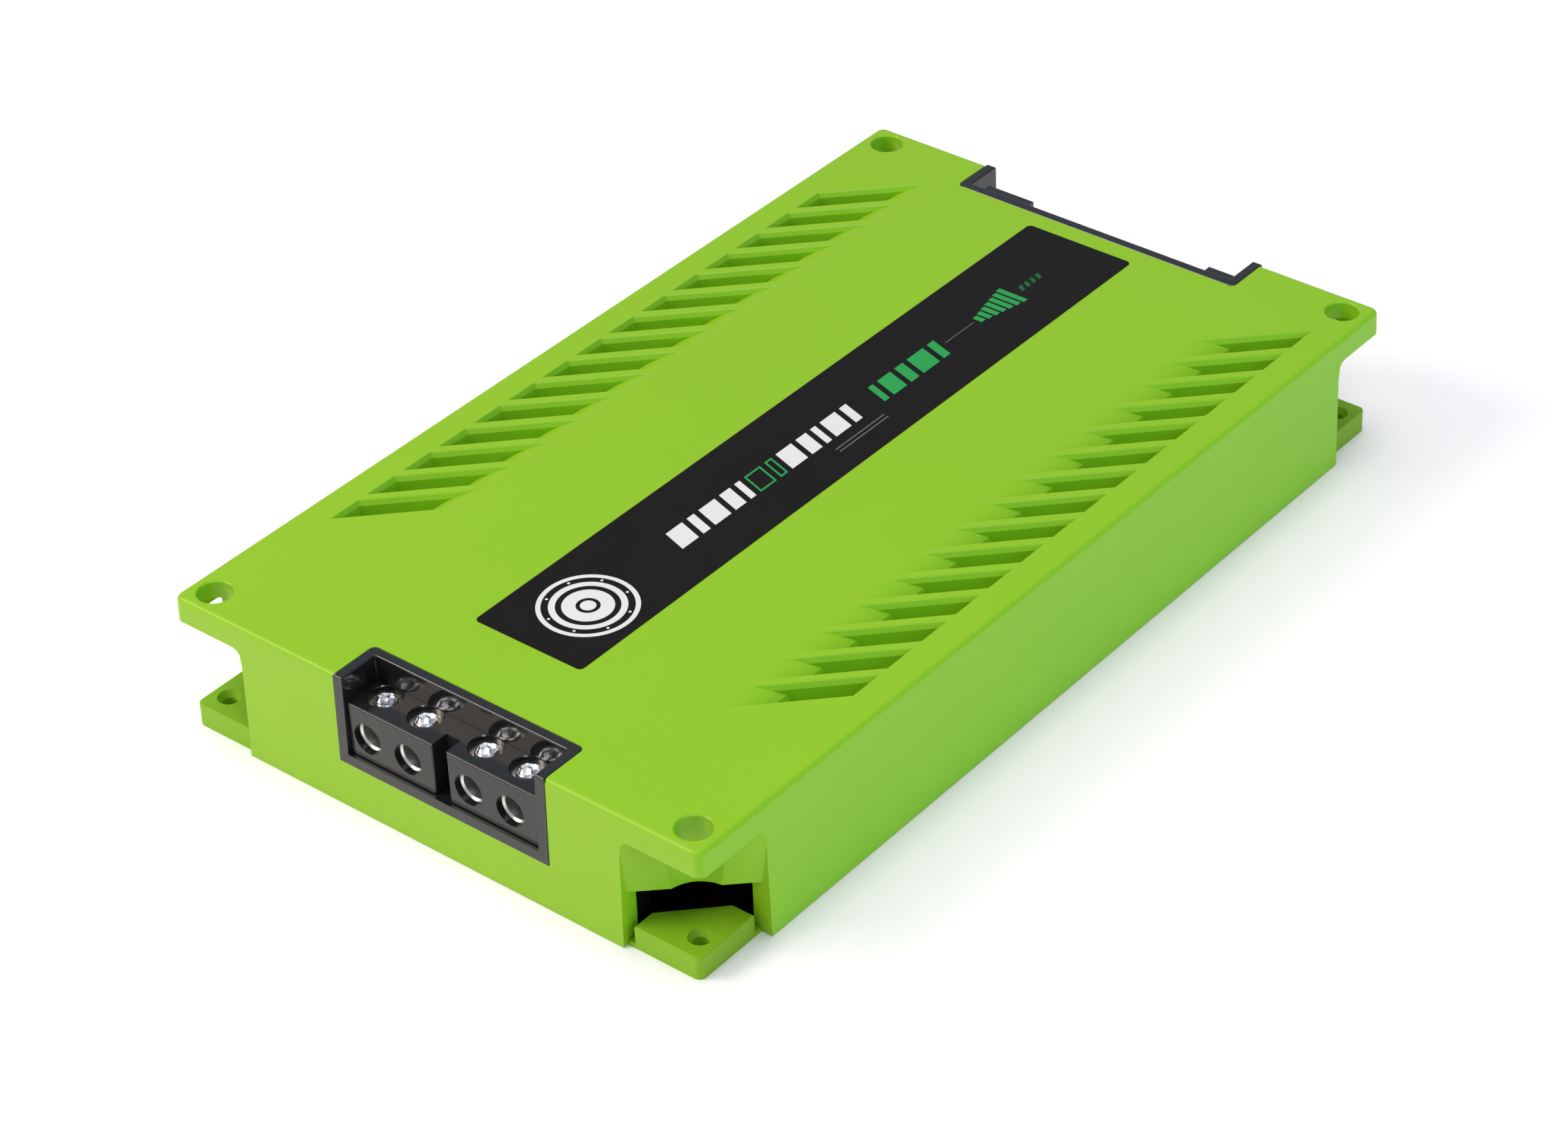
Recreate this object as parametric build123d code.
from build123d import *
import math
import os

# Car audio power amplifier. Millimetres. The origin is under the middle of the case, on the surface it
# is screwed to. The front, with the power terminals, is towards -Y, the top is +Z.

# ---------------------------------------------------------------- driving dimensions
CASE_W = 240.0  # flat top, side to side
CASE_L = 406.2  # flat top, end to end
CASE_H = 55.8  # mounting surface to flat top
LEAN = 0.0237  # how far each wall leans out per mm downwards
WALL = 3.0
COVER_LOW = 0.2  # the cover's rim hangs just clear of the mounting surface
CORNER_R = 3.5
TOP_EDGE_R = 2.2
GAP = 0.1  # fit between neighbouring fixed pieces

# screw-down corners
FOOT_X, FOOT_Y = 116.7, 202.1  # outer faces of the feet
FOOT_H = 9.4
FOOT_SIDE = 28.2
FOOT_CUT = 17.2  # leg of the chamfer on the foot's inner corner
HOLE_X, HOLE_Y = 109.3, 192.9  # screw axes
FOOT_HOLE_R = 2.8
SINK_R = 4.4
SINK_DEPTH = 2.4
ACCESS_R = 6.5  # tool hole in the cover above each foot screw
SKIRT_H = 10.2  # depth of the overhang's rim
ROOF_T = 7.2  # thickness of the overhang itself
NOTCH_X = {1: 85.3, -1: 88.0}  # where the corner notches start, right and left
NOTCH_Y = {-1: 170.3, 1: 174.5}  # the same, front and rear
NOTCH_R = 4.5
MOUTH_H = 22.0  # lower edge of the slanted wall behind each overhang
SLANT_IN = 3.4  # how far that edge stands in from the case walls
SLANT_LEAN = 0.1
SCREW_POCKET_R = 13.4
RETURN_X, RETURN_Y = 114.5, 190.0  # inner ends of the notch's side walls

# slanted blind slots in the top
SLOT_COUNT = 15
SLOT_PITCH = 19.1
SLOT_DEPTH = 7.6
SLOT_IN, SLOT_OUT = 75.5, 107.6  # distance of a slot's ends from the centre line
SLOT_SPAN = 13.8  # width of a slot along Y
SLOT_FAR_LEFT = -14.5  # y - x of the first slot's far edge, left row
SLOT_FAR_RIGHT = -200.6  # the same, right row
SLOT_RAMP = 10.5  # length of the ramp at a slot's inner end
SLOT_RAMP_DEPTH = 4.2
SLOT_FUNNEL = 2.0  # depth over which a slot's walls slope before they drop straight
SLOT_INSET = 0.95  # how far they slope in
SLOT_EDGE = 0.35
SLOT_PAD_T = 10.2

# label
LABEL_W = 48.8
LABEL_Y0, LABEL_Y1 = -151.2, 174.7
LABEL_T = 0.25

# front terminal bay
BAY_X0, BAY_X1 = -42.4, 53.6
BAY_BACK = -182.6
BAY_LOW = 19.5
LIP = 4.2
BEZEL_PROUD = 0.25
POWER_FACE = -202.4
POWER_TOP = 45.4
POWER_AXIS_Z = 33.2
POWER_BLOCK_X = (-20.1, 26.5)
POWER_STEP = 9.4  # each cable bore's distance from its block's middle
POWER_SCREW_Y = -192.0
POWER_DIVIDER = (1.5, 8.0)

# rear connector bay
REAR_X = 66.1
REAR_FRONT = 183.2
REAR_LOW = 9.5
SPEAKER_X = (-47.2, -27.8)
SPEAKER_AXIS_Z = 28.0
SPEAKER_TOP = 38.6
SPEAKER_FACE = 201.5
SPEAKER_SCREW_Y = 193.0
PANEL_T = 2.0
JACK_X = 52.0
JACK_Z = (22.0, 37.0)
KNOB_X = (2.0, 14.0, 26.0, 38.0)
KNOB_NAMES = ("bass_boost", "subsonic", "low_pass", "level")
KNOB_Z = 33.0
LAMP_Z = 42.6

# inside
BASE_T = 2.0
BOARD_Z = 8.0
BOARD_T = 1.6
BOARD_X = 90.0
BOARD_Y0, BOARD_Y1 = -165.0, 164.0
SCREW_POST_X = 111.3
SCREW_POST_Y = (-120.0, 0.0, 120.0)
BAR_X = 92.0  # inner face of the heat spreader bars
BAR_T = 8.0
BAR_H = 40.0
BAR_Y = 150.0
RUN_GAP = 0.05  # radial clearance of turning and sliding fits

BOARD_TOP = BOARD_Z + BOARD_T
CORNERS = [(sx, sy) for sx in (-1, 1) for sy in (-1, 1)]

os.makedirs("parts", exist_ok=True)


# ---------------------------------------------------------------- helpers
def block(x0, x1, y0, y1, z0, z1):
    """A box given by its limits."""
    middle = Pos((x0 + x1) / 2, (y0 + y1) / 2, (z0 + z1) / 2)
    return middle * Box(abs(x1 - x0), abs(y1 - y0), abs(z1 - z0))


def corner_block(sx, sy, x0, x1, y0, y1, z0, z1):
    """A box in the corner that the two signs name."""
    return block(sx * x0, sx * x1, sy * y0, sy * y1, z0, z1)


def rod_z(x, y, z0, z1, radius):
    return Pos(x, y, (z0 + z1) / 2) * Cylinder(radius, z1 - z0)


def rod_y(x, z, y0, y1, radius):
    return Pos(x, (y0 + y1) / 2, z) * Rot(90, 0, 0) * Cylinder(radius, y1 - y0)


def rod_x(y, z, x0, x1, radius):
    return Pos((x0 + x1) / 2, y, z) * Rot(0, 90, 0) * Cylinder(radius, abs(x1 - x0))


def cone_z(x, y, z0, z1, radius0, radius1):
    return Pos(x, y, (z0 + z1) / 2) * Cone(radius0, radius1, z1 - z0)


def prism(points, z0, z1):
    """A plate with the outline in plan."""
    outline = make_face(Polyline(*[(x, y, z0) for x, y in points], close=True))
    return extrude(outline, z1 - z0, dir=(0, 0, 1))


def side_prism(points, x0, x1):
    """A bar with the outline given as (y, z) points."""
    outline = make_face(Polyline(*[(x0, y, z) for y, z in points], close=True))
    return extrude(outline, x1 - x0, dir=(1, 0, 0))


def leaning_block(width, length, z0, z1, radius, inset=0.0):
    """A block whose four walls lean as the case's walls do."""
    outlines = []
    for z in (z0, z1):
        spread = 2 * (LEAN * (CASE_H - z) - inset)
        outlines.append(Pos(0, 0, z) * RectangleRounded(width + spread, length + spread, radius))
    return loft(outlines)


def edges_at(shape, axis, value, tol=0.01):
    """Edges that lie wholly at one height along an axis."""
    return shape.edges().filter_by_position(axis, value - tol, value + tol)


def save(name, *solids):
    """Write one node, as one or more separate solids."""
    shape = solids[0] if len(solids) == 1 else Compound(children=list(solids))
    export_step(shape, f"parts/{name}.step")


# ---------------------------------------------------------------- top cover
def slant_line(sx, sy, grow=0.0):
    """The two ends, in plan and unsigned, of the slanted wall's lower edge behind one overhang."""
    nx, ny = NOTCH_X[sx], NOTCH_Y[sy]
    near = Vector(nx, CASE_L / 2 + LEAN * CASE_H - SLANT_IN)
    far = Vector(CASE_W / 2 + LEAN * CASE_H - SLANT_IN, ny)
    along = (far - near).normalized()
    outward = Vector(-along.Y, along.X)
    if outward.X < 0:
        outward = -outward
    return near + outward * grow, far + outward * grow, along, outward


def beyond_slant(sx, sy, grow, z0, z1):
    """All space outside the slanted wall of one corner, between two heights."""
    outlines = []
    for z in (z0, z1):
        near, far, along, outward = slant_line(sx, sy, grow + SLANT_LEAN * (z - MOUTH_H))
        ring = [near - along * 60, far + along * 60, far + along * 60 + outward * 80,
                near - along * 60 + outward * 80]
        outlines.append(make_face(Polyline(*[(sx * p.X, sy * p.Y, z) for p in ring], close=True)))
    return loft(outlines)


def corner_tower(sx, sy):
    """The solid that is left standing inside the cover around one corner notch."""
    nx, ny = NOTCH_X[sx], NOTCH_Y[sy]
    near, far, along, outward = slant_line(sx, sy, -WALL)
    slope = (far.Y - near.Y) / (far.X - near.X)
    outer = CASE_L
    points = [
        (nx - WALL, outer), (nx - WALL, RETURN_Y), (nx, RETURN_Y), (nx, near.Y + slope * (nx - near.X)),
        (RETURN_X, near.Y + slope * (RETURN_X - near.X)), (RETURN_X, ny - WALL), (outer, ny - WALL),
        (outer, outer),
    ]
    tower = prism([(sx * x, sy * y) for x, y in points], COVER_LOW - 1, CASE_H)
    return tower + rod_z(sx * HOLE_X, sy * HOLE_Y, MOUTH_H, CASE_H, SCREW_POCKET_R + WALL)


def corner_notch(sx, sy):
    """What is cut away under one overhang, down to the mounting surface."""
    nx, ny = NOTCH_X[sx], NOTCH_Y[sy]
    roof = CASE_H - SKIRT_H
    reach_x, reach_y = CASE_W / 2 + 20, CASE_L / 2 + 20
    upper = corner_block(sx, sy, nx, reach_x, ny, reach_y, MOUTH_H - 1, roof)
    inner_edges = [e for e in edges_at(upper, Axis.Z, roof)
                   if abs(abs(e.center().X) - nx) < 0.01 or abs(abs(e.center().Y) - ny) < 0.01]
    upper = fillet(inner_edges, NOTCH_R)
    pocket = rod_z(sx * HOLE_X, sy * HOLE_Y, MOUTH_H - 1, roof, SCREW_POCKET_R) & upper
    upper = (upper & beyond_slant(sx, sy, 0, MOUTH_H - 1, roof + 1)) + pocket
    lower = corner_block(sx, sy, nx, reach_x, ny, reach_y, COVER_LOW - 2, MOUTH_H)
    return upper + lower


def overhang_hollow(sx, sy):
    """The shallow recess under one overhang, inside its rim."""
    roof = CASE_H - SKIRT_H
    nx, ny = NOTCH_X[sx], NOTCH_Y[sy]
    hollow = corner_block(sx, sy, nx, CASE_W / 2 - WALL, ny, CASE_L / 2 - WALL, roof - 1, CASE_H - ROOF_T)
    return hollow & beyond_slant(sx, sy, 5.5, roof - 2, CASE_H)


def slot_profile(side):
    """A slot's section across the case: steep outer end, flat floor, and a ramp rolling up inwards."""
    top, low = CASE_H + 2, CASE_H - SLOT_DEPTH
    reach = CASE_L / 2
    wall = SLOT_OUT - SLOT_INSET
    place = [Vector(side * x, -reach, z) for x, z in (
        (SLOT_IN, CASE_H), (SLOT_IN + SLOT_RAMP * 0.55, CASE_H - SLOT_RAMP_DEPTH * 0.36),
        (SLOT_IN + SLOT_RAMP, CASE_H - SLOT_RAMP_DEPTH), (SLOT_IN + SLOT_RAMP + 1.2, low), (wall, low),
        (wall, CASE_H - SLOT_FUNNEL), (SLOT_OUT, CASE_H), (SLOT_OUT, top), (SLOT_IN, top))]
    ramp = ThreePointArc(*place[:3])
    outline = make_face([ramp, Polyline(*place[2:], place[0])])
    return extrude(outline, 2 * reach, dir=(0, 1, 0))


def slot_row(side, far_offset):
    """One row of blind slots, slanted at 45 degrees in plan."""
    x0, x1 = sorted((side * (SLOT_IN - 2), side * (SLOT_OUT + 2)))
    inset = SLOT_INSET * math.sqrt(2)

    def plan(index, grow):
        far = far_offset + index * SLOT_PITCH + grow
        near = far - SLOT_SPAN - 2 * grow
        return [(x0, x0 + far), (x1, x1 + far), (x1, x1 + near), (x0, x0 + near)]

    def funnel(index, grow0, z0, grow1, z1):
        outlines = [make_face(Polyline(*[(x, y, z) for x, y in plan(index, grow)], close=True))
                    for grow, z in ((grow0, z0), (grow1, z1))]
        return loft(outlines)

    slots = []
    for index in range(SLOT_COUNT):
        slot = prism(plan(index, -inset), CASE_H - SLOT_DEPTH - 1, CASE_H)
        slot += funnel(index, -inset, CASE_H - SLOT_FUNNEL, 0, CASE_H - SLOT_EDGE)
        slots.append(slot + funnel(index, 0, CASE_H - SLOT_EDGE, SLOT_EDGE * 1.3, CASE_H + 0.01))
    profile = slot_profile(side)
    return [slot & profile for slot in slots]


def bay_cut(x0, x1, y0, y1, z0):
    """Opening for a bezel, with the same rounded inner corners and a fitting gap."""
    cut = block(x0 - GAP, x1 + GAP, y0, y1, z0 - GAP, CASE_H + 5)
    inner_y = y1 if y0 < -CASE_L / 2 else y0
    corners = [e for e in cut.edges().filter_by(Axis.Z) if abs(e.center().Y - inner_y) < 0.01]
    return fillet(corners, 2.5)


def top_cover():
    cover = leaning_block(CASE_W, CASE_L, COVER_LOW, CASE_H, CORNER_R)
    cover = fillet(edges_at(cover, Axis.Z, CASE_H), TOP_EDGE_R)
    cavity = leaning_block(CASE_W, CASE_L, COVER_LOW - 1, CASE_H - WALL, 1.5, inset=WALL)
    pad_y0, pad_y1 = -145.0, 183.0
    for side in (-1, 1):
        cavity -= block(side * (SLOT_IN - 4), side * (SLOT_OUT + 3.4), pad_y0, pad_y1,
                        CASE_H - SLOT_PAD_T, CASE_H)
        for y in SCREW_POST_Y:
            cavity -= rod_z(side * SCREW_POST_X, y, BASE_T, CASE_H, 3.6)
    for sx, sy in CORNERS:
        cavity -= corner_tower(sx, sy)
    cover -= cavity
    for sx, sy in CORNERS:
        cover -= corner_notch(sx, sy)
        cover -= overhang_hollow(sx, sy)
        cover -= rod_z(sx * HOLE_X, sy * HOLE_Y, CASE_H - SKIRT_H - 2, CASE_H + 1, ACCESS_R)
        cover -= cone_z(sx * HOLE_X, sy * HOLE_Y, CASE_H - 0.5, CASE_H + 0.5, ACCESS_R, ACCESS_R + 1.0)
    for side in (-1, 1):
        for y in SCREW_POST_Y:
            cover -= rod_z(side * SCREW_POST_X, y, BASE_T - 1, 16.0, 1.5 + RUN_GAP)
    cover -= bay_cut(BAY_X0, BAY_X1, -CASE_L / 2 - 10, BAY_BACK + GAP, BAY_LOW)
    cover -= bay_cut(-REAR_X, REAR_X, REAR_FRONT - GAP, CASE_L / 2 + 10, REAR_LOW)
    return cover.cut(*slot_row(-1, SLOT_FAR_LEFT), *slot_row(1, SLOT_FAR_RIGHT))


# ---------------------------------------------------------------- base plate with feet
def foot(sx, sy):
    inner_x, inner_y = FOOT_X - FOOT_SIDE, FOOT_Y - FOOT_SIDE
    points = [(FOOT_X, FOOT_Y), (inner_x, FOOT_Y), (inner_x, inner_y + FOOT_CUT),
              (inner_x + FOOT_CUT, inner_y), (FOOT_X, inner_y)]
    body = prism([(sx * x, sy * y) for x, y in points], 0, FOOT_H)
    body &= corner_block(sx, sy, NOTCH_X[sx] + 0.3, FOOT_X + 1, NOTCH_Y[sy] + 0.3, FOOT_Y + 1, 0, FOOT_H)
    outer = [e for e in body.edges().filter_by(Axis.Z)
             if abs(abs(e.center().X) - FOOT_X) < 0.01 and abs(abs(e.center().Y) - FOOT_Y) < 0.01]
    body = fillet(outer, 2.6)
    return fillet(edges_at(body, Axis.Z, FOOT_H), 0.5)


def base_plate():
    plate = block(-FOOT_X, FOOT_X, -CASE_L / 2 + 2.2, CASE_L / 2 - 2.2, 0, BASE_T)
    for sx, sy in CORNERS:
        nx, ny = NOTCH_X[sx], NOTCH_Y[sy]
        flange = corner_block(sx, sy, nx + 0.3, FOOT_X, ny + 0.3, FOOT_Y, 0, BASE_T)
        outer = [e for e in flange.edges().filter_by(Axis.Z)
                 if abs(abs(e.center().X) - FOOT_X) < 0.01 and abs(abs(e.center().Y) - FOOT_Y) < 0.01]
        plate -= corner_block(sx, sy, nx, FOOT_X + 1, ny, FOOT_Y + 1, -1, BASE_T + 1)
        plate += fillet(outer, 2.6) + foot(sx, sy)
        plate += corner_block(sx, sy, nx - 1, nx + 1, ny - 10, RETURN_Y - 0.3, 0, BASE_T)
        plate += corner_block(sx, sy, nx - 1, RETURN_X - 0.3, ny - 1, ny + 1, 0, BASE_T)
        plate -= corner_block(sx, sy, nx - WALL - 0.3, nx + 0.3, RETURN_Y - 0.3, FOOT_Y + 1, -1, BASE_T + 1)
        plate -= corner_block(sx, sy, RETURN_X - 1.7, FOOT_X + 1, ny - WALL - 0.3, ny + 0.3, -1, BASE_T + 1)
        plate -= rod_z(sx * HOLE_X, sy * HOLE_Y, -1, FOOT_H + 1, FOOT_HOLE_R)
        plate -= cone_z(sx * HOLE_X, sy * HOLE_Y, FOOT_H - SINK_DEPTH, FOOT_H + 0.01, FOOT_HOLE_R, SINK_R)
    for side in (-1, 1):
        for y in SCREW_POST_Y:
            plate -= rod_z(side * SCREW_POST_X, y, -1, BASE_T + 1, 1.6)
            plate -= cone_z(side * SCREW_POST_X, y, -0.01, 1.5, 2.95, 1.6)
    return plate


def cover_screw(x, y):
    """Countersunk screw, head down, with a hexagon socket."""
    head = cone_z(x, y, 0.1, 1.45, 2.8, 1.5)
    shank = rod_z(x, y, 1.45, 12.0, 1.5)
    socket = Pos(x, y, 0.1) * extrude(RegularPolygon(1.15, 6), 0.9, dir=(0, 0, 1))
    return head + shank - socket


# ---------------------------------------------------------------- label
def label_strip():
    middle = (LABEL_Y0 + LABEL_Y1) / 2
    outline = Pos(0, middle, CASE_H) * RectangleRounded(LABEL_W, LABEL_Y1 - LABEL_Y0, 2.0)
    return extrude(outline, LABEL_T, dir=(0, 0, 1))


# ---------------------------------------------------------------- front bezel and power terminals
def bezel(x0, x1, y_back, low, side):
    """A black tub open to the top and to one end: side is -1 at the front, 1 at the rear."""
    end = side * (CASE_L / 2 + 5)
    y0, y1 = sorted((y_back, end))
    shell = block(x0, x1, y0, y1, low, CASE_H + 0.2)
    back_corners = [e for e in shell.edges().filter_by(Axis.Z) if abs(e.center().Y - y_back) < 0.01]
    shell = fillet(back_corners, 2.5)
    grown = 2 * BEZEL_PROUD
    shell &= leaning_block(CASE_W + grown, CASE_L + grown, low - 1, CASE_H + 0.2, CORNER_R)
    inner_y0, inner_y1 = sorted((y_back - side * -4.0, side * CASE_L))
    cavity = block(x0 + LIP, x1 - LIP, inner_y0, inner_y1, low + 4.1, CASE_H + 5)
    inner_back = y_back + side * 4.0
    cavity_corners = [e for e in cavity.edges().filter_by(Axis.Z) if abs(e.center().Y - inner_back) < 0.01]
    cavity = fillet(cavity_corners, 0.8)
    return shell - cavity


def soften(shape, radius, keep):
    """Round the sharp edges that a test picks."""
    return fillet([e for e in shape.edges() if keep(e)], radius)


def front_bezel():
    tub = bezel(BAY_X0, BAY_X1, BAY_BACK, BAY_LOW, -1)
    window = block(BAY_X0 + LIP, BAY_X1 - LIP, BAY_BACK - 4.5, BAY_BACK + 1, BAY_LOW + 4.1, POWER_TOP + GAP)
    tub = tub - window
    return soften(tub, 0.7, lambda e: abs(e.center().Z - CASE_H - 0.2) < 0.01)


POWER_BORES = [x + d for x in POWER_BLOCK_X for d in (-POWER_STEP, POWER_STEP)]


def power_housing():
    x0, x1 = BAY_X0 + LIP + GAP, BAY_X1 - LIP - GAP
    low = BAY_LOW + 4.2
    shell = block(x0, x1, POWER_FACE, -170.0, low, POWER_TOP)
    shell -= block(*POWER_DIVIDER, POWER_FACE - 1, POWER_FACE + 7.5, low - 1, POWER_TOP + 1)
    face_edges = [e for e in edges_at(shell, Axis.Y, POWER_FACE)]
    shell = fillet(face_edges, 0.6)
    for x in POWER_BLOCK_X:
        shell -= block(x - 16.5, x + 16.5, POWER_FACE + 2.6, -172.0, low - 1, 42.5)
        shell -= block(x - 8.0, x + 8.0, -173.0, -169.0, 26.0, 40.0)
    for x in POWER_BORES:
        shell -= rod_y(x, POWER_AXIS_Z, POWER_FACE - 1, POWER_FACE + 3.0, 6.2)
        shell -= rod_z(x, POWER_SCREW_Y, 42.0, POWER_TOP + 1, 6.2)
        shell -= cone_z(x, POWER_SCREW_Y, POWER_TOP - 0.4, POWER_TOP + 0.4, 6.2, 7.0)
    return shell


def power_block(x):
    low, high = BAY_LOW + 4.3, 42.4
    metal = block(x - 16.4, x + 16.4, POWER_FACE + 2.7, -172.1, low, high)
    metal = chamfer(metal.edges().filter_by(Axis.Z), 0.6)
    for bore in (x - POWER_STEP, x + POWER_STEP):
        metal -= rod_y(bore, POWER_AXIS_Z, POWER_FACE, -177.0, 5.3)
        metal -= Pos(bore, POWER_FACE + 2.7 + 0.35, POWER_AXIS_Z) * Rot(90, 0, 0) * Cone(5.3, 6.0, 0.72)
        metal -= rod_z(bore, POWER_SCREW_Y, POWER_AXIS_Z, high + 1, 4.0 + RUN_GAP)
        metal -= cone_z(bore, POWER_SCREW_Y, high - 0.5, high + 0.1, 4.0 + RUN_GAP, 4.7)
    return metal


def set_screw(x, y, top, length, radius, socket_r):
    """Headless screw with a hexagon socket on top and a seat for the clamp pad's pivot below."""
    low = top - length
    screw = rod_z(x, y, low, top, radius)
    screw = chamfer(edges_at(screw, Axis.Z, top), 0.6)
    screw = chamfer(edges_at(screw, Axis.Z, low), 0.5)
    socket = extrude(Pos(x, y, top) * RegularPolygon(socket_r, 6), 0.55 * length, dir=(0, 0, -1))
    mouth = cone_z(x, y, top - 0.5, top + 0.1, socket_r - 0.3, socket_r + 0.3)
    seat = rod_z(x, y, low - 1, low + 1.8, 0.38 * radius + RUN_GAP)
    return screw - socket - mouth - seat


def clamp_pad(x, y, top, radius):
    """Pressure pad that presses the cable and stays still while the screw turns on its pivot."""
    disc = rod_z(x, y, top - 1.4, top - 0.02, 0.8 * radius)
    disc = chamfer(edges_at(disc, Axis.Z, top - 1.4), 0.3)
    return disc + rod_z(x, y, top - 0.1, top + 1.6, 0.38 * radius)


def bus_bar(x, half_width, side, y_block, y_drop, y_end, z_strap):
    """Copper strap from a terminal block's inner end, across, down and along the board."""
    thick = 2.0
    s = -side
    points = [(y_block, z_strap), (y_drop, z_strap), (y_drop, BOARD_TOP), (y_end, BOARD_TOP),
              (y_end, BOARD_TOP + thick), (y_drop + s * thick, BOARD_TOP + thick),
              (y_drop + s * thick, z_strap + thick), (y_block, z_strap + thick)]
    return side_prism(points, x - half_width, x + half_width)


# ---------------------------------------------------------------- rear bezel, panel and connectors
def rear_bezel():
    tub = bezel(-REAR_X, REAR_X, REAR_FRONT, REAR_LOW, 1)
    tub -= block(-58, 58, REAR_FRONT - 1, REAR_FRONT + 5, REAR_LOW + 6, 45.5)
    tub = soften(tub, 0.7, lambda e: abs(e.center().Z - CASE_H - 0.2) < 0.01)
    for x0, x1 in ((-56.0, -34.0), (50.0, REAR_X - LIP + 0.5)):
        tub += block(x0, x1, REAR_FRONT + 3.9, REAR_FRONT + 7.6, CASE_H - 2.9, CASE_H - 0.5)
    return tub


PANEL_Y1 = REAR_FRONT - GAP
PANEL_Y0 = PANEL_Y1 - PANEL_T
SIGNAL_BOARD_Y = 169.6
SPEAKER_X0, SPEAKER_X1 = -57.0, -18.0
SPEAKER_LOW = 18.0


def rear_panel():
    plate = block(-62, 62, PANEL_Y0, PANEL_Y1, REAR_LOW + 3, 48.5)
    plate -= block(SPEAKER_X0 - GAP, SPEAKER_X1 + GAP, PANEL_Y0 - 1, PANEL_Y1 + 1,
                   SPEAKER_LOW - GAP, SPEAKER_TOP + GAP)
    for z in JACK_Z:
        plate -= rod_y(JACK_X, z, PANEL_Y0 - 1, PANEL_Y1 + 1, 4.0 + GAP)
    for x in KNOB_X:
        plate -= rod_y(x, KNOB_Z, PANEL_Y0 - 1, PANEL_Y1 + 1, 3.2 + GAP)
    for x in KNOB_X[1:]:
        plate -= rod_y(x, LAMP_Z, PANEL_Y0 - 1, PANEL_Y1 + 1, 1.5 + GAP)
    plate -= block(*REMOTE_X, PANEL_Y0 - 1, PANEL_Y1 + 1, *REMOTE_Z)
    for x in (-60.0, 60.0):
        for z in (15.0, 46.0):
            plate -= rod_y(x, z, PANEL_Y0 - 1, PANEL_Y1 + 1, 1.0)
    return plate


REMOTE_X = (17.9, 34.1)
REMOTE_Z = (15.9, 24.6)


def remote_socket():
    body = block(REMOTE_X[0] + GAP, REMOTE_X[1] - GAP, SIGNAL_BOARD_Y, 191.0, REMOTE_Z[0] + GAP,
                 REMOTE_Z[1] - GAP)
    body = fillet(edges_at(body, Axis.Y, 191.0), 0.4)
    return body - block(REMOTE_X[0] + 1.6, REMOTE_X[1] - 1.6, 181.0, 192.0, REMOTE_Z[0] + 1.5, REMOTE_Z[1] - 1.5)


def speaker_housing():
    shell = block(SPEAKER_X0, SPEAKER_X1, 174.0, SPEAKER_FACE, SPEAKER_LOW, SPEAKER_TOP)
    shell = fillet(edges_at(shell, Axis.Y, SPEAKER_FACE), 0.8)
    for x in SPEAKER_X:
        shell -= block(x - 7.8, x + 7.8, 176.0, SPEAKER_FACE - 2.6, SPEAKER_LOW - 1, 36.0)
        shell -= block(x - 5.0, x + 5.0, 173.0, 177.0, 22.0, 34.0)
        shell -= rod_y(x, SPEAKER_AXIS_Z, SPEAKER_FACE - 3.0, SPEAKER_FACE + 1, 5.2)
        shell -= rod_z(x, SPEAKER_SCREW_Y, 35.0, SPEAKER_TOP + 1, 5.0)
    return shell


def speaker_block(x):
    metal = block(x - 7.7, x + 7.7, 176.1, SPEAKER_FACE - 2.7, SPEAKER_LOW + 0.2, 35.9)
    metal = chamfer(metal.edges().filter_by(Axis.Z), 0.5)
    metal -= rod_y(x, SPEAKER_AXIS_Z, 180.0, SPEAKER_FACE, 4.4)
    return metal - rod_z(x, SPEAKER_SCREW_Y, SPEAKER_AXIS_Z, 37.0, 3.0 + RUN_GAP)


def signal_board():
    return block(-8.0, 61.0, SIGNAL_BOARD_Y - 1.6, SIGNAL_BOARD_Y, 11.5, 47.0)


def jack_insert(z):
    """Insulator of a round signal socket, with its centre contact's hole."""
    body = block(JACK_X - 5.5, JACK_X + 5.5, SIGNAL_BOARD_Y, PANEL_Y0 - GAP, z - 5.5, z + 5.5)
    body += rod_y(JACK_X, z, PANEL_Y0 - 1, 193.0, 3.55)
    return body - rod_y(JACK_X, z, 184.0, 194.0, 1.6)


def jack_shell(z):
    tube = rod_y(JACK_X, z, PANEL_Y1, 193.6, 4.15)
    tube = chamfer(edges_at(tube, Axis.Y, 193.6), 0.3) + rod_y(JACK_X, z, PANEL_Y0, PANEL_Y1, 4.0)
    return tube - rod_y(JACK_X, z, PANEL_Y0 - 1, 195.0, 3.6)


def pot_body(x):
    body = block(x - 4.9, x + 4.9, SIGNAL_BOARD_Y, 176.2, KNOB_Z - 5.6, KNOB_Z + 5.6)
    body += rod_y(x, KNOB_Z, 176.0, 184.2, 3.2)
    return body - rod_y(x, KNOB_Z, 171.9, 185.0, 2.0 + RUN_GAP)


def pot_shaft(x):
    shaft = rod_y(x, KNOB_Z, 172.0, 191.0, 2.0)
    return shaft - block(x - 0.4, x + 0.4, 188.5, 192.0, KNOB_Z - 3, KNOB_Z + 3)


KNOB_R = 4.8
KNOB_Y0, KNOB_Y1 = 184.5, 195.0


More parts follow.
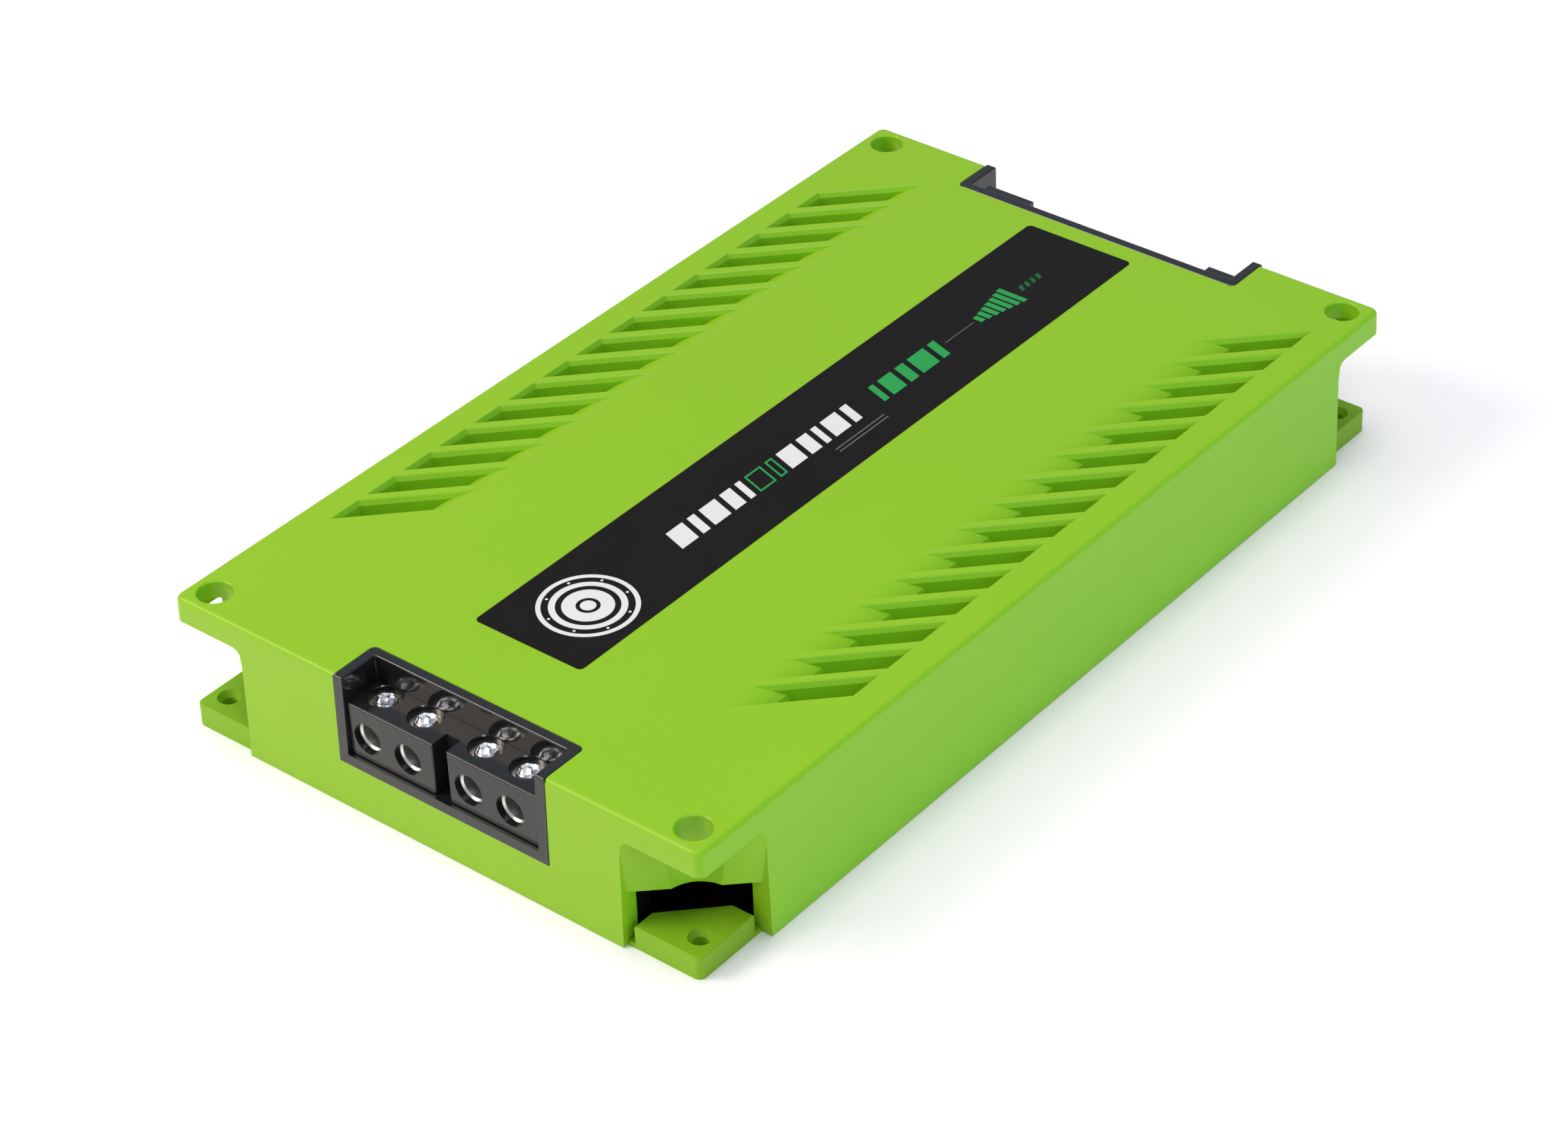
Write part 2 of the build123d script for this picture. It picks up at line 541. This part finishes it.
def knob(x):
    """Fluted cap with a pointer groove at the top."""
    cap = rod_y(x, KNOB_Z, KNOB_Y0, KNOB_Y1, KNOB_R)
    cap = fillet(edges_at(cap, Axis.Y, KNOB_Y1), 0.6)
    flutes = 14
    for index in range(flutes):
        angle = 2 * math.pi * (index + 0.5) / flutes
        cap -= rod_y(x + (KNOB_R + 0.25) * math.sin(angle), KNOB_Z + (KNOB_R + 0.25) * math.cos(angle),
                     KNOB_Y0 + 1.5, KNOB_Y1 + 1, 0.6)
    cap -= block(x - 0.4, x + 0.4, KNOB_Y1 - 0.5, KNOB_Y1 + 1, KNOB_Z + 0.8, KNOB_Z + KNOB_R + 1)
    cap -= rod_y(x, KNOB_Z, KNOB_Y0 - 1, 191.0, 2.0)
    return cap


def lamp(x):
    guide = rod_y(x, LAMP_Z, SIGNAL_BOARD_Y, 185.6, 1.5)
    return fillet(edges_at(guide, Axis.Y, 185.6), 1.2)


def ribbon_cable():
    """Flat cable, bent once, from the signal board down to the main board."""
    thick, z_high, y_low = 1.0, 20.0, 153.0
    path = [(SIGNAL_BOARD_Y - 1.6, z_high), (y_low, z_high), (y_low, BOARD_TOP),
            (y_low - thick, BOARD_TOP), (y_low - thick, z_high + thick), (SIGNAL_BOARD_Y - 1.6, z_high + thick)]
    strip = side_prism(path, 36.0, 58.0)
    bend = [e for e in strip.edges().filter_by(Axis.X) if e.center().Y < y_low + 0.1 and e.center().Z > z_high - 0.1]
    outer = [e for e in bend if e.center().Z > z_high + 0.5]
    strip = fillet(outer, 3.0)
    inner = [e for e in strip.edges().filter_by(Axis.X)
             if abs(e.center().Y - y_low) < 0.1 and abs(e.center().Z - z_high) < 0.1]
    return fillet(inner, 2.0)


# ---------------------------------------------------------------- inside
STANDOFFS = [(sx * 80.0, y) for sx in (-1, 1) for y in (-150.0, -8.0, 150.0)]


def main_board():
    board = block(-BOARD_X, BOARD_X, BOARD_Y0, BOARD_Y1, BOARD_Z, BOARD_TOP)
    for x, y in STANDOFFS:
        board -= rod_z(x, y, BOARD_Z - 1, BOARD_TOP + 1, 1.6)
    return board


def insulating_film():
    film = block(-BOARD_X + 2, BOARD_X - 2, BOARD_Y0 + 2, BOARD_Y1 - 2, BASE_T, BASE_T + 0.4)
    for x, y in STANDOFFS:
        film -= rod_z(x, y, BASE_T - 1, BASE_T + 1, 3.3)
    return film


def standoff(x, y):
    post = Pos(x, y, BASE_T) * extrude(RegularPolygon(3.0, 6), BOARD_Z - BASE_T, dir=(0, 0, 1))
    return post - rod_z(x, y, BASE_T + 1, BOARD_Z + 1, 1.5 + RUN_GAP)


def board_screw(x, y):
    head = rod_z(x, y, BOARD_TOP, BOARD_TOP + 2.2, 2.8)
    head = fillet(edges_at(head, Axis.Z, BOARD_TOP + 2.2), 0.8)
    return head + rod_z(x, y, BASE_T + 2, BOARD_TOP + 0.5, 1.5) - rod_z(x, y, BOARD_TOP + 1, BOARD_TOP + 3, 1.0)


def capacitor(x, y, radius, height):
    """Electrolytic capacitor: a rolled can with a groove near its foot."""
    can = rod_z(x, y, BOARD_TOP, BOARD_TOP + height, radius)
    can = fillet(edges_at(can, Axis.Z, BOARD_TOP + height), 1.0)
    groove = rod_z(x, y, BOARD_TOP + 2.5, BOARD_TOP + 3.7, radius + 1)
    groove -= rod_z(x, y, BOARD_TOP + 2, BOARD_TOP + 4, radius - 0.7)
    return can - groove


def ring(x, y, z0, z1, outer, inner, edge):
    body = rod_z(x, y, z0, z1, outer) - rod_z(x, y, z0 - 1, z1 + 1, inner)
    return fillet(edges_at(body, Axis.Z, z0) + edges_at(body, Axis.Z, z1), edge)


def toroid(x, y, outer, inner, height):
    """A ferrite ring and the copper winding wrapped round it, as two solids."""
    core = ring(x, y, BOARD_TOP + 5, BOARD_TOP + height - 5, outer - 5, inner + 5, 1.0)
    winding = ring(x, y, BOARD_TOP + 0.1, BOARD_TOP + height, outer, inner, 4.0)
    return core, winding - core


def transistor(side, y):
    """Flat power package against the heat bar, with three legs to the board."""
    face = BAR_X - 0.5
    body = block(side * (face - 5), side * face, y - 7.9, y + 7.9, 14, 34)
    for leg in (-5.4, 0.0, 5.4):
        body += block(side * (face - 3), side * (face - 2.2), y + leg - 0.6, y + leg + 0.6, BOARD_TOP, 14.2)
    return body


def heat_bar(side):
    bar = block(side * BAR_X, side * (BAR_X + BAR_T), -BAR_Y, BAR_Y, BASE_T, BASE_T + BAR_H)
    bar += block(side * BAR_X, side * (BAR_X + 14), -BAR_Y, BAR_Y, BASE_T, BASE_T + 5)
    for y in CLAMP_Y:
        bar -= rod_x(y, CLAMP_Z, side * (BAR_X - 1), side * (BAR_X + 6), 1.5 + RUN_GAP)
    return bar


TRANSISTOR_Y = [-130.0 + 20.0 * index for index in range(14)]
CLAMP_Y = [-140.0 + 40.0 * index for index in range(8)]
CLAMP_Z = 26.0


def thermal_pad(side):
    pad = block(side * (BAR_X - 0.5), side * BAR_X, -BAR_Y + 4, BAR_Y - 4, 12.5, 35)
    for y in CLAMP_Y:
        pad -= rod_x(y, CLAMP_Z, side * (BAR_X - 1), side * (BAR_X + 1), 1.8)
    return pad


def clamp_bar(side):
    inner = BAR_X - 5.5
    bar = block(side * (inner - 3), side * inner, -BAR_Y + 2, BAR_Y - 2, CLAMP_Z - 4, CLAMP_Z + 4)
    for y in CLAMP_Y:
        bar -= rod_x(y, CLAMP_Z, side * (inner - 4), side * (inner + 1), 1.6)
    return bar


def clamp_screw(side, y):
    inner = BAR_X - 8.5
    head = rod_x(y, CLAMP_Z, side * (inner - 2.4), side * inner, 2.8)
    return head + rod_x(y, CLAMP_Z, side * (inner - 0.5), side * (BAR_X + 5), 1.5)


def driver_card():
    """Small upright board with its control chips."""
    card = block(-58, 58, -10.8, -9.2, BOARD_TOP, 38)
    for x in (-42.0, -14.0, 14.0, 42.0):
        card += block(x - 6, x + 6, -12.8, -10.7, 20, 32)
    return card


# ---------------------------------------------------------------- build and write every node
def build():
    save("top_cover", top_cover())
    save("base_plate", base_plate())
    save("label_strip", label_strip())
    posts = [(side * SCREW_POST_X, y) for side in (-1, 1) for y in SCREW_POST_Y]
    save("cover_screws", *[cover_screw(x, y) for x, y in posts])

    save("front_bezel", front_bezel())
    save("power_housing", power_housing())
    for name, x in zip(("left", "right"), POWER_BLOCK_X):
        save(f"power_block_{name}", power_block(x))
        save(f"power_bus_{name}", bus_bar(x, 7.0, -1, -172.1, -158.0, -149.0, 31.0))
    for number, x in enumerate(POWER_BORES, 1):
        save(f"power_screw_{number}", set_screw(x, POWER_SCREW_Y, 44.0, 8.6, 4.0, 2.35))
        save(f"power_pad_{number}", clamp_pad(x, POWER_SCREW_Y, 35.4, 4.0))

    save("rear_bezel", rear_bezel())
    save("rear_panel", rear_panel())
    save("remote_socket", remote_socket())
    save("speaker_housing", speaker_housing())
    for number, (name, x) in enumerate(zip(("left", "right"), SPEAKER_X), 1):
        save(f"speaker_block_{name}", speaker_block(x))
        save(f"speaker_bus_{name}", bus_bar(x, 4.5, 1, 176.1, 164.5, 152.0, 27.0))
        save(f"speaker_screw_{number}", set_screw(x, SPEAKER_SCREW_Y, 37.4, 7.0, 3.0, 1.75))
        save(f"speaker_pad_{number}", clamp_pad(x, SPEAKER_SCREW_Y, 30.4, 3.0))
    save("signal_board", signal_board())
    save("signal_jack_inserts", *[jack_insert(z) for z in JACK_Z])
    save("signal_jack_shells", *[jack_shell(z) for z in JACK_Z])
    save("pot_bodies", *[pot_body(x) for x in KNOB_X])
    for name, x in zip(KNOB_NAMES, KNOB_X):
        save(f"{name}_shaft", pot_shaft(x))
        save(f"{name}_knob", knob(x))
    save("status_lamps", *[lamp(x) for x in KNOB_X[1:]])
    save("ribbon_cable", ribbon_cable())

    save("main_board", main_board())
    save("insulating_film", insulating_film())
    save("board_standoffs", *[standoff(x, y) for x, y in STANDOFFS])
    save("board_screws", *[board_screw(x, y) for x, y in STANDOFFS])
    bank = [(22.0 * column, y) for column in range(-3, 4) for y in (-137.0, -115.0)]
    rails = [(26.0 * column, 120.0) for column in range(-2, 3)]
    save("supply_capacitors", *[capacitor(x, y, 9.0, 32.0) for x, y in bank],
         *[capacitor(x, y, 11.0, 34.0) for x, y in rails])
    transformers = [toroid(x, -64.0, 32.0, 10.0, 30.0) for x in (-42.0, 42.0)]
    save("transformer_cores", *[core for core, winding in transformers])
    save("transformer_windings", *[winding for core, winding in transformers])
    inductors = [toroid(x, 40.0, 27.0, 8.0, 28.0) for x in (-38.0, 38.0)]
    save("inductor_cores", *[core for core, winding in inductors])
    save("inductor_windings", *[winding for core, winding in inductors])
    save("film_capacitors", *[block(x - 13, x + 13, 80, 91, BOARD_TOP, BOARD_TOP + 20)
                              for x in (-60.0, -30.0, 0.0, 30.0, 60.0)])
    sides = (-1, 1)
    save("power_transistors", *[transistor(side, y) for side in sides for y in TRANSISTOR_Y])
    save("thermal_pads", *[thermal_pad(side) for side in sides])
    save("heat_bars", *[heat_bar(side) for side in sides])
    save("clamp_bars", *[clamp_bar(side) for side in sides])
    save("clamp_screws", *[clamp_screw(side, y) for side in sides for y in CLAMP_Y])
    save("driver_card", driver_card())


build()
